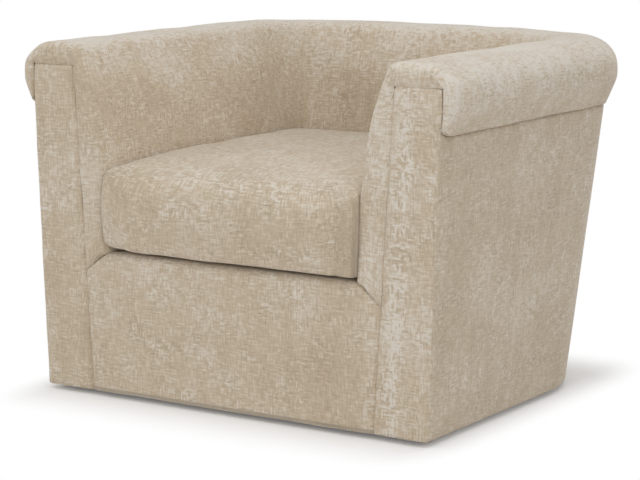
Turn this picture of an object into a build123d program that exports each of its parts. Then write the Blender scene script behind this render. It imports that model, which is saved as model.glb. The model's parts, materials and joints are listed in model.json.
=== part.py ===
from build123d import *
from math import cos, degrees, radians, sin, sqrt
import os

# Swivel tub chair. The floor is z = 0, the sitter faces -Y and the chair turns about the Z axis.
# Sizes are millimetres. A depth into the wall is measured inward from the rim seam in plan.
os.makedirs("parts", exist_ok=True)

# Outside form. Each corner turns by corner_turn degrees before the flatter arc of the back begins
depth = 888.0
rim_half_width = 467.0
rim_bulge = 25.0
base_half_width = 444.0
base_corner = 277.0
corner_turn = 73.5
back_lean = 79.0
hem_height = 10.0
wall_bands = 5
crest_height = 700.0
roll_height = 132.0
bulge_rise = 54.0
bulge_round = 60.0
crest_round = 58.0
lip_round = 45.0

# Inside form: wall thickness at the crest, at the knee beside the cushion and at the deck
wall_crest = 102.7
wall_knee = 172.0
wall_deck = 178.0
knee_height = 440.0
inside_corner = 47.0

# Arm fronts and front border
facing_thick = 10.0
facing_drop = 28.0
facing_inner_top = 98.0
facing_inner_foot = 140.0
mitre_height = 251.0
border_top = 284.0
border_nose = 44.0
nose_round = 16.0

# Layers and frame stock
panel_thick = 4.0
pad_thick = 30.0
board = 22.0
gap = 0.3
frame_foot = 14.0
bottom_rail_top = 114.0
seat_rail_foot = 190.0
seat_rail_top = 262.0
post_width = 45.0
arm_post_y = -100.0
back_post_share = 0.45
block_leg = 50.0
block_rise = 50.0
dust_cover_thick = 1.0
dust_cover_inset = 6.0

# Seat support
strap_width = 50.0
strap_thick = 2.0
long_strap_count = 5
cross_strap_count = 5
deck_thick = 30.0

# Loose cushion
cushion_ease = 1.0
cushion_recess = 6.0
cushion_side = 145.0
cushion_crown = 27.0
cushion_crown_reach = 150.0
cushion_front_corner = 32.0
cushion_draw_in = 4.0
cushion_edge_round = 20.0
cushion_edge_steps = 2
cushion_crown_steps = 3
core_cover = 26.0
core_top_cover = 13.0

# Turntable and floor base. Screws and their holes have few sides
glide_count = 4
glide_radius = 18.0
glide_height = 5.0
glide_circle_radius = 245.0
disc_radius = 280.0
disc_thick = 18.0
disc_hole_gap = 22.0
plate_thick = 5.0
plate_half_width = 150.0
plate_corner = 20.0
roller_radius = 3.0
roller_length = 12.0
roller_count = 6
roller_circle_radius = 105.0
race_clearance = 0.05
cage_thick = 2.0
cage_margin = 6.0
cage_pocket_gap = 0.15
spindle_radius = 8.0
spindle_head_radius = 15.0
spindle_head = 4.0
bush_wall = 3.0
running_clearance = 0.05
screw_sides = 8
screw_radius = 2.5
screw_head_radius = 4.5
screw_head = 2.5
lower_screw_length = 14.0
lower_screw_inset = 15.0
upper_screw_length = 25.0
upper_screw_x = 95.0
cross_rail_height = 70.0
cross_rail_offset = 92.0

# Derived places
back_turn = 180 - 2 * corner_turn
front_y = -depth / 2
skin_back = front_y + facing_thick
board_back = skin_back + board
rim_back = depth / 2 - rim_bulge
rim_corner = wall_deck + inside_corner
seam_height = crest_height - roll_height
bulge_height = seam_height + bulge_rise
facing_top = crest_height - facing_drop
frame_near = panel_thick + gap
frame_far = frame_near + board
top_rail_near = frame_near + panel_thick
top_rail_top = seam_height + board
strap_top = seat_rail_top + 2 * strap_thick
deck_foot = strap_top + gap
deck_top = deck_foot + deck_thick
disc_top = glide_height + disc_thick
lower_plate_top = disc_top + plate_thick
roller_height = lower_plate_top + race_clearance + roller_radius
upper_plate_foot = roller_height + roller_radius + race_clearance
upper_plate_top = upper_plate_foot + plate_thick
lower_screw_reach = plate_half_width - lower_screw_inset


class Plan:
    # Horseshoe in plan: straight sides, round corners and a flatter arc across the back
    def __init__(self, half_width, back, corner):
        self.half_width = half_width
        self.corner = corner
        self.corner_x = half_width - corner
        self.radius = corner + self.corner_x / cos(radians(corner_turn))
        self.back_y = back - self.radius
        self.side_end = self.back_y + (self.radius - corner) * sin(radians(corner_turn))

    def on_corner(self, inset, angle):
        reach = self.corner - inset
        x = self.corner_x + reach * cos(radians(angle))
        return (x, self.side_end + reach * sin(radians(angle)))

    def on_back(self, inset, angle):
        reach = self.radius - inset
        return (reach * cos(radians(angle)), self.back_y + reach * sin(radians(angle)))


def wall_plan(share):
    # Plan of the leaning wall at a share of the way from the hem to the rim seam
    half_width = base_half_width + (rim_half_width - base_half_width) * share
    corner = base_corner + (rim_corner - base_corner) * share
    return Plan(half_width, rim_back - back_lean * (1 - share), corner)


base = wall_plan(0)
rim = wall_plan(1)


def side_lean(height):
    # How far the side stands in from the rim seam at a height
    share = (seam_height - height) / (seam_height - hem_height)
    return (rim_half_width - base_half_width) * share


def inside_face(height):
    # Depth of the inside cover below the rim, straight above and below the knee
    if height >= knee_height:
        share = (crest_height - height) / (crest_height - knee_height)
        return wall_crest + (wall_knee - wall_crest) * share
    share = (knee_height - height) / (knee_height - deck_foot)
    return wall_knee + (wall_deck - wall_knee) * share


def pad_back(height):
    # Depth of the straight board line behind the inside pads
    share = (height - deck_foot) / (seam_height - deck_foot)
    return wall_deck - pad_thick + (inside_face(seam_height) - wall_deck) * share


def facing_seam(height):
    # Depth of the seam between an arm facing and the strip inside it
    share = (facing_top - height) / (facing_top - hem_height)
    return facing_inner_top + (facing_inner_foot - facing_inner_top) * share


def keep(piece, name):
    piece.part.label = name
    export_step(piece.part, "parts/" + name + ".step")


def keep_pair(piece, name):
    # The modelled piece stands at +X and its twin at -X
    keep(piece, name + "_right")
    with BuildPart() as twin:
        mirror(piece.part, about=Plane.YZ)
    keep(twin, name + "_left")


def side_strip(plan, near, far, start):
    # Plan of a layer along the right side and round its corner
    with BuildSketch() as strip:
        with BuildLine():
            Line((plan.half_width - near, start), (plan.half_width - near, plan.side_end))
            CenterArc((plan.corner_x, plan.side_end), plan.corner - near, 0, corner_turn)
            Line(plan.on_corner(near, corner_turn), plan.on_corner(far, corner_turn))
            CenterArc((plan.corner_x, plan.side_end), plan.corner - far, 0, corner_turn)
            Line((plan.half_width - far, plan.side_end), (plan.half_width - far, start))
            Line((plan.half_width - far, start), (plan.half_width - near, start))
        make_face()
    return strip.sketch


def post_strip(near_first, near_last, far_last, far_first):
    # Plan of a straight post from its four corners
    with BuildSketch() as strip:
        with BuildLine():
            Polyline(near_first, near_last, far_last, far_first, close=True)
        make_face()
    return strip.sketch


def arm_post_strip(plan):
    # Plan of the right arm post
    near = plan.half_width - frame_near
    far = plan.half_width - frame_far
    last = arm_post_y + post_width
    return post_strip((near, arm_post_y), (near, last), (far, last), (far, arm_post_y))


def corner_post_strip(plan):
    # Plan of the post in the middle of the right corner
    spread = degrees(post_width / rim_corner)
    first = (corner_turn - spread) / 2
    last = first + spread
    return post_strip(
        plan.on_corner(frame_near, first),
        plan.on_corner(frame_near, last),
        plan.on_corner(frame_far, last),
        plan.on_corner(frame_far, first),
    )


def back_post_strip(plan):
    # Plan of the right back post, set a share of the way from the corner to the middle
    first = corner_turn + back_turn / 2 * back_post_share
    last = first + degrees(post_width / rim.radius)
    return post_strip(
        plan.on_back(frame_near, first),
        plan.on_back(frame_near, last),
        plan.on_back(frame_far, last),
        plan.on_back(frame_far, first),
    )


def back_strip(plan, near, far):
    # Plan of a layer across the back between the two corners
    centre = (0, plan.back_y)
    last = corner_turn + back_turn
    with BuildSketch() as strip:
        with BuildLine():
            CenterArc(centre, plan.radius - near, corner_turn, back_turn)
            Line(plan.on_back(near, last), plan.on_back(far, last))
            CenterArc(centre, plan.radius - far, corner_turn, back_turn)
            Line(plan.on_back(far, corner_turn), plan.on_back(near, corner_turn))
        make_face()
    return strip.sketch


def horseshoe(plan, inset, start):
    # Whole plan inside a layer, closed across the front
    side = plan.half_width - inset
    corner = plan.corner - inset
    with BuildSketch() as outline:
        with BuildLine():
            Line((side, start), (side, plan.side_end))
            CenterArc((plan.corner_x, plan.side_end), corner, 0, corner_turn)
            CenterArc((0, plan.back_y), plan.radius - inset, corner_turn, back_turn)
            CenterArc((-plan.corner_x, plan.side_end), corner, corner_turn + back_turn, corner_turn)
            Line((-side, plan.side_end), (-side, start))
            Line((-side, start), (side, start))
        make_face()
    return outline.sketch


def wall_piece(strip):
    # A piece of the leaning wall, ruled in bands from the hem to the rim seam
    with BuildPart() as piece:
        for band in range(wall_bands + 1):
            share = band / wall_bands
            with BuildSketch(Plane.XY.offset(hem_height + (seam_height - hem_height) * share)):
                add(strip(wall_plan(share)))
        loft(ruled=True)
    return piece


def trimmed(piece, foot, top):
    # The stretch of a wall piece between two heights
    with BuildPart() as stretch:
        add(piece.part)
        split(bisect_by=Plane.XY.offset(foot), keep=Keep.TOP)
        split(bisect_by=Plane.XY.offset(top), keep=Keep.BOTTOM)
    return stretch


def section_plane(y):
    # Wall section of the right arm: X runs inward from the rim seam and Y runs up
    return Plane((rim.half_width, y, 0), x_dir=(-1, 0, 0), z_dir=(0, 1, 0))


def along_arm(profile, start):
    # A wall section carried back along the right arm to its corner
    with BuildPart() as piece:
        with BuildSketch(section_plane(start)):
            add(profile)
        extrude(amount=rim.side_end - start)
    return piece


def round_back(profile):
    # A wall section carried round both corners and the back
    tangent = radians(corner_turn)
    start = Plane(
        (*rim.on_back(0, corner_turn), 0),
        x_dir=(-cos(tangent), -sin(tangent), 0),
        z_dir=(-sin(tangent), cos(tangent), 0),
    )
    with BuildPart() as piece:
        with BuildSketch(section_plane(rim.side_end)):
            add(profile)
        revolve(axis=Axis((rim.corner_x, rim.side_end, 0), (0, 0, 1)), revolution_arc=corner_turn)
        with BuildSketch(start):
            add(profile)
        revolve(axis=Axis((0, rim.back_y, 0), (0, 0, 1)), revolution_arc=back_turn / 2)
        mirror(about=Plane.YZ)
    return piece


def swivel_plate(foot):
    # Square plate of the turntable with cut corners
    with BuildPart() as plate:
        with Locations((0, 0, foot)):
            Box(
                2 * plate_half_width,
                2 * plate_half_width,
                plate_thick,
                align=(Align.CENTER, Align.CENTER, Align.MIN),
            )
        chamfer(plate.edges().filter_by(Axis.Z), plate_corner)
    return plate


def screw_holes(reach_x, reach_y):
    # Plan of four clearance holes
    with BuildSketch() as holes:
        with GridLocations(2 * reach_x, 2 * reach_y, 2, 2):
            RegularPolygon(screw_radius + running_clearance, screw_sides)
    return holes.sketch


def screw_group(reach_x, reach_y, shank_foot, shank_length, head_foot):
    # Four upright pan-head screws
    with BuildPart() as screws:
        with BuildSketch(Plane.XY.offset(shank_foot)):
            with GridLocations(2 * reach_x, 2 * reach_y, 2, 2):
                RegularPolygon(screw_radius, screw_sides)
        extrude(amount=shank_length)
        with BuildSketch(Plane.XY.offset(head_foot)):
            with GridLocations(2 * reach_x, 2 * reach_y, 2, 2):
                RegularPolygon(screw_head_radius, screw_sides)
        extrude(amount=screw_head)
    return screws


# Floor base: glides, plywood disc, lower plate and its screws, spindle
with BuildPart() as floor_glides:
    with PolarLocations(glide_circle_radius, glide_count):
        Cylinder(glide_radius, glide_height, align=(Align.CENTER, Align.CENTER, Align.MIN))
keep(floor_glides, "floor_glides")

with BuildPart() as base_disc:
    with Locations((0, 0, glide_height)):
        Cylinder(disc_radius, disc_thick, align=(Align.CENTER, Align.CENTER, Align.MIN))
    with BuildSketch(Plane.XY.offset(disc_top)):
        add(screw_holes(lower_screw_reach, lower_screw_reach))
    extrude(amount=plate_thick - lower_screw_length - gap, mode=Mode.SUBTRACT)
keep(base_disc, "base_disc")

with BuildPart() as swivel_lower_plate:
    add(swivel_plate(disc_top).part)
    with BuildSketch(Plane.XY.offset(disc_top)):
        Circle(spindle_radius)
        add(screw_holes(lower_screw_reach, lower_screw_reach))
    extrude(amount=plate_thick, mode=Mode.SUBTRACT)
keep(swivel_lower_plate, "swivel_lower_plate")

lower_plate_screws = screw_group(
    lower_screw_reach,
    lower_screw_reach,
    lower_plate_top - lower_screw_length,
    lower_screw_length,
    lower_plate_top,
)
keep(lower_plate_screws, "lower_plate_screws")

with BuildPart() as spindle:
    with Locations((0, 0, disc_top)):
        Cylinder(
            spindle_radius,
            upper_plate_top + gap - disc_top,
            align=(Align.CENTER, Align.CENTER, Align.MIN),
        )
    with Locations((0, 0, upper_plate_top + gap)):
        Cylinder(spindle_head_radius, spindle_head, align=(Align.CENTER, Align.CENTER, Align.MIN))
keep(spindle, "spindle")

# Ring of rollers between the plates, in a cage that runs on the spindle
with BuildPart() as bearing_rollers:
    with Locations((0, 0, roller_height)):
        with PolarLocations(roller_circle_radius, roller_count):
            Cylinder(roller_radius, roller_length, rotation=(0, 90, 0))
keep(bearing_rollers, "bearing_rollers")

with BuildPart() as roller_cage:
    with BuildSketch(Plane.XY.offset(roller_height - cage_thick / 2)):
        Circle(roller_circle_radius + roller_length / 2 + cage_margin)
        Circle(spindle_radius + running_clearance, mode=Mode.SUBTRACT)
        with PolarLocations(roller_circle_radius, roller_count):
            Rectangle(
                roller_length + 2 * cage_pocket_gap,
                2 * (roller_radius + cage_pocket_gap),
                mode=Mode.SUBTRACT,
            )
    extrude(amount=cage_thick)
keep(roller_cage, "roller_cage")

# Turning half of the turntable
with BuildPart() as swivel_upper_plate:
    add(swivel_plate(upper_plate_foot).part)
    with BuildSketch(Plane.XY.offset(upper_plate_foot)):
        Circle(spindle_radius + running_clearance + bush_wall)
        add(screw_holes(upper_screw_x, cross_rail_offset))
    extrude(amount=plate_thick, mode=Mode.SUBTRACT)
keep(swivel_upper_plate, "swivel_upper_plate")

with BuildPart() as spindle_bush:
    with BuildSketch(Plane.XY.offset(upper_plate_foot)):
        Circle(spindle_radius + running_clearance + bush_wall)
        Circle(spindle_radius + running_clearance, mode=Mode.SUBTRACT)
    extrude(amount=plate_thick)
keep(spindle_bush, "spindle_bush")

upper_plate_screws = screw_group(
    upper_screw_x,
    cross_rail_offset,
    upper_plate_foot,
    upper_screw_length,
    upper_plate_foot - screw_head,
)
keep(upper_plate_screws, "upper_plate_screws")

# Cross rails over the turntable, their ends cut to the leaning, rounding frame
cross_rail_top = upper_plate_top + cross_rail_height
frame_core = wall_piece(lambda plan: horseshoe(plan, frame_far, board_back))
for end, y in (("front", -cross_rail_offset), ("back", cross_rail_offset)):
    with BuildPart() as cross_rail:
        with Locations((0, y, upper_plate_top)):
            Box(
                2 * rim_half_width,
                post_width,
                cross_rail_height,
                align=(Align.CENTER, Align.CENTER, Align.MIN),
            )
        with BuildSketch(Plane.XY.offset(upper_plate_top)):
            add(screw_holes(upper_screw_x, cross_rail_offset))
        extrude(amount=upper_screw_length - plate_thick + gap, mode=Mode.SUBTRACT)
        add(frame_core.part, mode=Mode.INTERSECT)
    keep(cross_rail, "cross_rail_" + end)

# Outer frame layer: bottom rails and the posts that stand on them
side_frame = wall_piece(lambda plan: side_strip(plan, frame_near, frame_far, board_back))
keep_pair(trimmed(side_frame, frame_foot, bottom_rail_top), "side_bottom_rail")

back_frame = wall_piece(lambda plan: back_strip(plan, frame_near, frame_far))
keep(trimmed(back_frame, frame_foot, bottom_rail_top), "back_bottom_rail")

arm_post = wall_piece(arm_post_strip)
keep_pair(trimmed(arm_post, bottom_rail_top, seam_height), "arm_post")

corner_post = wall_piece(corner_post_strip)
keep_pair(trimmed(corner_post, bottom_rail_top, seam_height), "corner_post")

back_post = wall_piece(back_post_strip)
keep_pair(trimmed(back_post, bottom_rail_top, seam_height), "back_post")

# Arm front boards and the front rails between them
board_inner = wall_deck - pad_thick - gap
with BuildPart() as arm_front_board:
    with BuildSketch(section_plane(skin_back)):
        with BuildLine():
            Polyline(
                (side_lean(frame_foot) + frame_near, frame_foot),
                (frame_near, seam_height),
                (pad_back(seam_height) - gap, seam_height),
                (board_inner, deck_foot),
                (board_inner, frame_foot),
                close=True,
            )
        make_face()
    extrude(amount=board)
keep_pair(arm_front_board, "arm_front_board")

front_rail_half = rim_half_width - board_inner
front_rails = (
    ("front_bottom_rail", frame_foot, bottom_rail_top),
    ("front_seat_rail", seat_rail_foot, seat_rail_top),
)
for name, foot, top in front_rails:
    with BuildPart() as front_rail:
        with Locations((0, skin_back, foot)):
            Box(
                2 * front_rail_half,
                board,
                top - foot,
                align=(Align.CENTER, Align.MIN, Align.MIN),
            )
    keep(front_rail, name)

# Seat rails inside the tub, their legs and glue blocks
seat_rail_near = wall_deck - pad_thick
seat_rail_far = seat_rail_near + board
with BuildSketch() as seat_rail_section:
    with Locations((seat_rail_near, seat_rail_foot)):
        Rectangle(board, seat_rail_top - seat_rail_foot, align=(Align.MIN, Align.MIN))
keep_pair(along_arm(seat_rail_section.sketch, board_back), "side_seat_rail")
keep(round_back(seat_rail_section.sketch), "back_seat_rail")

seat_leg_x = rim_half_width - (seat_rail_near + seat_rail_far) / 2
with BuildPart() as seat_legs:
    with Locations((0, 0, cross_rail_top)):
        with GridLocations(2 * seat_leg_x, 2 * cross_rail_offset, 2, 2):
            Box(
                board,
                post_width,
                seat_rail_foot - cross_rail_top,
                align=(Align.CENTER, Align.CENTER, Align.MIN),
            )
keep(seat_legs, "seat_legs")

block_x = rim_half_width - seat_rail_far
block_foot = (seat_rail_foot + seat_rail_top - block_rise) / 2
with BuildPart() as corner_blocks:
    with BuildSketch(Plane.XY.offset(block_foot)):
        with BuildLine():
            Polyline(
                (block_x, board_back),
                (block_x, board_back + block_leg),
                (block_x - block_leg, board_back),
                close=True,
            )
        make_face()
        mirror(about=Plane.YZ)
    extrude(amount=block_rise)
keep(corner_blocks, "corner_blocks")

# Top rails that carry the roll
with BuildSketch() as top_rail_section:
    with Locations((top_rail_near, seam_height)):
        Rectangle(
            pad_back(top_rail_top) - panel_thick - 2 * gap - top_rail_near,
            board,
            align=(Align.MIN, Align.MIN),
        )
keep_pair(along_arm(top_rail_section.sketch, skin_back), "arm_top_rail")
keep(round_back(top_rail_section.sketch), "back_top_rail")

# Webbing straps over the seat rails, spread over the seat, and the deck pad on them
strap_rail_inset = (seat_rail_near + seat_rail_far) / 2
strap_front = skin_back + board / 2
long_strap_reach = rim.corner_x - strap_width / 2
with BuildPart() as long_straps:
    for count in range(long_strap_count):
        x = long_strap_reach * (2 * count / (long_strap_count - 1) - 1)
        outer_x = abs(x) + strap_width / 2
        reach = sqrt((rim.radius - strap_rail_inset) ** 2 - outer_x**2)
        with Locations((x, strap_front, seat_rail_top)):
            Box(
                strap_width,
                rim.back_y + reach - strap_front,
                strap_thick,
                align=(Align.CENTER, Align.MIN, Align.MIN),
            )
keep(long_straps, "long_straps")

cross_strap_first = board_back + strap_width
cross_strap_pitch = (rim.side_end - cross_strap_first) / (cross_strap_count - 1)
with BuildPart() as cross_straps:
    for count in range(cross_strap_count):
        y = cross_strap_first + count * cross_strap_pitch
        with Locations((0, y, seat_rail_top + strap_thick)):
            Box(
                2 * (rim_half_width - strap_rail_inset),
                strap_width,
                strap_thick,
                align=(Align.CENTER, Align.CENTER, Align.MIN),
            )
keep(cross_straps, "cross_straps")

deck_inset = wall_deck + gap
with BuildPart() as deck_pad:
    with BuildSketch(Plane.XY.offset(deck_foot)):
        add(horseshoe(rim, deck_inset, front_y + border_nose + gap))
    extrude(amount=deck_thick)
keep(deck_pad, "deck_pad")

# Inside panels and the pads on them
with BuildSketch() as inside_panel_section:
    with BuildLine():
        Polyline(
            (board_inner - panel_thick, deck_foot),
            (pad_back(top_rail_top) - gap - panel_thick, top_rail_top),
            (pad_back(top_rail_top) - gap, top_rail_top),
            (board_inner, deck_foot),
            close=True,
        )
    make_face()
keep_pair(along_arm(inside_panel_section.sketch, board_back), "inside_arm_panel")
keep(round_back(inside_panel_section.sketch), "inside_back_panel")

with BuildSketch() as inside_pad_section:
    with BuildLine():
        Polyline(
            (pad_back(deck_foot), deck_foot),
            (pad_back(seam_height), seam_height),
            (inside_face(seam_height), seam_height),
            (wall_knee, knee_height),
            (wall_deck, deck_foot),
            close=True,
        )
    make_face()
keep_pair(along_arm(inside_pad_section.sketch, skin_back), "inside_arm_pad")
keep(round_back(inside_pad_section.sketch), "inside_back_pad")

# Outline of the upholstered wrap on an arm: bulge, crest, lip and inside face down to the mitre
with BuildSketch() as wrap_outline:
    with BuildLine():
        Polyline(
            (0, seam_height),
            (-rim_bulge, bulge_height),
            (-rim_bulge, crest_height),
            (wall_crest, crest_height),
            (wall_knee, knee_height),
            (inside_face(border_top), border_top),
            (facing_seam(mitre_height), mitre_height),
            close=True,
        )
    make_face()
    fillet(wrap_outline.vertices().group_by(Axis.Y)[-1].sort_by(Axis.X)[-1], lip_round)
    fillet(wrap_outline.vertices().group_by(Axis.Y)[-1].sort_by(Axis.X)[0], crest_round)
    fillet(wrap_outline.vertices().group_by(Axis.X)[0].sort_by(Axis.Y)[0], bulge_round)

# Rim roll, saddled over the top rails
roll_foot = seam_height + gap
saddle_top = top_rail_top + gap
with BuildSketch() as roll_section:
    add(wrap_outline.sketch)
    with Locations((-rim_bulge, roll_foot)):
        Rectangle(
            rim_bulge + wall_knee,
            crest_height - roll_foot,
            align=(Align.MIN, Align.MIN),
            mode=Mode.INTERSECT,
        )
    with BuildLine():
        Polyline(
            (top_rail_near - gap, roll_foot),
            (pad_back(roll_foot), roll_foot),
            (pad_back(saddle_top), saddle_top),
            (top_rail_near - gap, saddle_top),
            close=True,
        )
    make_face(mode=Mode.SUBTRACT)
keep_pair(along_arm(roll_section.sketch, skin_back), "arm_roll")
keep(round_back(roll_section.sketch), "back_roll")

# Outside cover panels
outside_side = wall_piece(lambda plan: side_strip(plan, 0, panel_thick, skin_back))
keep_pair(outside_side, "outside_panel")
outside_back = wall_piece(lambda plan: back_strip(plan, 0, panel_thick))
keep(outside_back, "outside_back_panel")

# Arm fronts: the facing panel and the strip of the wrap round its top and inner edge
with BuildSketch() as facing_outline:
    with BuildLine():
        Polyline(
            (side_lean(hem_height), hem_height),
            (0, seam_height),
            (0, facing_top),
            (facing_inner_top, facing_top),
            (facing_inner_foot, hem_height),
            close=True,
        )
    make_face()
with BuildPart() as arm_facing:
    with BuildSketch(section_plane(front_y)):
        add(facing_outline.sketch)
    extrude(amount=facing_thick)
keep_pair(arm_facing, "arm_facing")

with BuildPart() as arm_border:
    with BuildSketch(section_plane(front_y)):
        add(wrap_outline.sketch)
        add(facing_outline.sketch, mode=Mode.SUBTRACT)
    extrude(amount=facing_thick)
keep_pair(arm_border, "arm_border")

# Front border, wrapped over the front seat rail
with BuildPart() as front_border:
    with BuildSketch(Plane.XZ.offset(-front_y)):
        foot_x = rim_half_width - facing_inner_foot
        mitre_x = rim_half_width - facing_seam(mitre_height)
        top_x = rim_half_width - inside_face(border_top)
        with BuildLine():
            Polyline(
                (-foot_x, hem_height),
                (foot_x, hem_height),
                (mitre_x, mitre_height),
                (top_x, border_top),
                (-top_x, border_top),
                (-mitre_x, mitre_height),
                close=True,
            )
        make_face()
    extrude(amount=-facing_thick)
    with Locations((0, skin_back, deck_foot)):
        Box(
            2 * (rim_half_width - deck_inset),
            border_nose - facing_thick,
            border_top - deck_foot,
            align=(Align.CENTER, Align.MIN, Align.MIN),
        )
    top_edges = front_border.edges().filter_by(Axis.X).group_by(Axis.Z)[-1]
    fillet(top_edges.sort_by(Axis.Y)[0], nose_round)
keep(front_border, "front_border")

# Dust cover under the frame, open round the base disc
with BuildPart() as dust_cover:
    with BuildSketch(Plane.XY.offset(frame_foot - dust_cover_thick)):
        add(horseshoe(base, dust_cover_inset, skin_back))
        Circle(disc_radius + disc_hole_gap, mode=Mode.SUBTRACT)
    extrude(amount=dust_cover_thick)
keep(dust_cover, "dust_cover")


# Loose seat cushion
def cushion_edge(start, end, draw_in):
    # One edge of the cushion, bowed inward where it is drawn in
    if draw_in > 0:
        SagittaArc(start, end, draw_in)
    else:
        Line(start, end)


def cushion_outline(inset, draw_in):
    # D in plan, with its front and sides drawn in a little between the corners
    cushion_wall = wall_deck + cushion_ease
    half = rim_half_width - cushion_wall - inset
    start = front_y + cushion_recess + inset
    plan = Plan(half, rim_back - cushion_wall - inset, inside_corner)
    left_turn = corner_turn + back_turn
    round_x = half - cushion_front_corner
    round_y = start + cushion_front_corner
    with BuildSketch() as outline:
        with BuildLine():
            cushion_edge((half, round_y), (half, plan.side_end), draw_in)
            CenterArc((plan.corner_x, plan.side_end), plan.corner, 0, corner_turn)
            CenterArc((0, plan.back_y), plan.radius, corner_turn, back_turn)
            CenterArc((-plan.corner_x, plan.side_end), plan.corner, left_turn, corner_turn)
            cushion_edge((-half, plan.side_end), (-half, round_y), draw_in)
            CenterArc((-round_x, round_y), cushion_front_corner, 180, 90)
            cushion_edge((-round_x, start), (round_x, start), draw_in)
            CenterArc((round_x, round_y), cushion_front_corner, 270, 90)
        make_face()
    return outline.sketch


cushion_foot = deck_top + gap
cushion_shoulder = cushion_foot + cushion_side
core_foot = cushion_foot + core_cover
core_top = cushion_shoulder - core_top_cover
with BuildPart() as cushion_core:
    with BuildSketch(Plane.XY.offset(core_foot)):
        add(cushion_outline(core_cover, 0))
    extrude(amount=core_top - core_foot)
keep(cushion_core, "cushion_core")

# Heights up the cushion with how far its outline stands in and is drawn in there:
# round edges with the drawn-in sides between them, then the crown
foot_levels = []
shoulder_levels = []
for step in range(cushion_edge_steps + 1):
    share = step / cushion_edge_steps
    rise = cushion_edge_round * (1 - cos(radians(90 * share)))
    run = cushion_edge_round * (1 - sin(radians(90 * share)))
    foot_levels.append((cushion_foot + rise, run, cushion_draw_in * share))
    shoulder_levels.append((cushion_shoulder - run, rise, cushion_draw_in * (1 - share)))
crown_levels = []
for step in range(1, cushion_crown_steps + 1):
    share = step / cushion_crown_steps
    rise = cushion_crown * (1 - (1 - share) ** 2)
    run = cushion_edge_round + cushion_crown_reach * share
    crown_levels.append((cushion_shoulder + rise, run, 0))

with BuildPart() as seat_cushion:
    for height, inset, draw_in in foot_levels + shoulder_levels + crown_levels:
        with BuildSketch(Plane.XY.offset(height)):
            add(cushion_outline(inset, draw_in))
    loft(ruled=True)
    with BuildSketch(Plane.XY.offset(core_foot - gap)):
        add(cushion_outline(core_cover - gap, 0))
    extrude(amount=core_top - core_foot + 2 * gap, mode=Mode.SUBTRACT)
keep(seat_cushion, "seat_cushion")
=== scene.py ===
import json
import math
import bpy
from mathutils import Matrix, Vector, noise


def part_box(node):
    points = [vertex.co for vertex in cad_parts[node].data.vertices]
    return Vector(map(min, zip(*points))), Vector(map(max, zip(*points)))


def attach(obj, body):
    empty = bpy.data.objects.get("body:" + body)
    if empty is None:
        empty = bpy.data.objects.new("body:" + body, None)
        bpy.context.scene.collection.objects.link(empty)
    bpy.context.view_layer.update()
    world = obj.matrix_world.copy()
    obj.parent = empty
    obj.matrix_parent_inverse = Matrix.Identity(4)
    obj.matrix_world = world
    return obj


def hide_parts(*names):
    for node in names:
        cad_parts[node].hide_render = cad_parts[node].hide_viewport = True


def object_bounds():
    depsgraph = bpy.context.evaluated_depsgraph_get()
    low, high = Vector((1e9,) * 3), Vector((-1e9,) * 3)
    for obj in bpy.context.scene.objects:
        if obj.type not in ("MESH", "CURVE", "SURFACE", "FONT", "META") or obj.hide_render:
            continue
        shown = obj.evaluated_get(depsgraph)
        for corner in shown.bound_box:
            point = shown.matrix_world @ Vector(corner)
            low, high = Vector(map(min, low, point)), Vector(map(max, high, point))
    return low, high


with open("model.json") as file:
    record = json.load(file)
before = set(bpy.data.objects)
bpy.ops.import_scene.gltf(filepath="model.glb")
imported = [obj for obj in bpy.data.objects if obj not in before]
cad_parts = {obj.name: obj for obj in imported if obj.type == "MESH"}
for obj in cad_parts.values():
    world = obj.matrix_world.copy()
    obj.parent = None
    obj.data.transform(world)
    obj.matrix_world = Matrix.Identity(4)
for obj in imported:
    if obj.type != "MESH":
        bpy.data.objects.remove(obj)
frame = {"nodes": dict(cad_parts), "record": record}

cadLow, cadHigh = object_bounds()
nodes = frame["nodes"]
slotOf = {p["node"]: p["material_slot"] for p in frame["record"]["subparts"]}
mm = 0.001
print("frame loaded:", len(nodes), "nodes")


def lerp(a, b, t):
    return a + (b - a) * t


def clamp(share):
    return min(max(share, 0), 1)


def smooth(share):
    share = clamp(share)
    return share * share * (3 - 2 * share)


def toLinear(code):
    channels = [int(code[i:i + 2], 16) / 255 for i in (1, 3, 5)]
    return [c / 12.92 if c <= 0.04045 else ((c + 0.055) / 1.055) ** 2.4 for c in channels] + [1.0]


def addNode(tree, kind, settings=None, feeds=None):
    node = tree.nodes.new(kind)
    for key, value in (settings or {}).items():
        if key == "stops":                      # a colour ramp's places and sRGB codes
            ramp = node.color_ramp
            while len(ramp.elements) < len(value):
                ramp.elements.new(1.0)
            for element, (place, code) in zip(ramp.elements, value):
                element.position, element.color = place, toLinear(code)
        else:
            setattr(node, key, value)
    for key, value in (feeds or {}).items():
        socket = node.inputs[key]
        if isinstance(value, bpy.types.Node):   # a node feeds by its first output
            value = value.outputs[0]
        if isinstance(value, bpy.types.NodeSocket):
            tree.links.new(value, socket)
        else:
            socket.default_value = value
    return node


def newFinish(name, shine):
    material = bpy.data.materials.new(name)
    material.use_nodes = True
    tree = material.node_tree
    tree.nodes.clear()
    shader = addNode(tree, "ShaderNodeBsdfPrincipled", None, shine)
    addNode(tree, "ShaderNodeOutputMaterial", None, {"Surface": shader})
    return material, tree, shader


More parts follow.
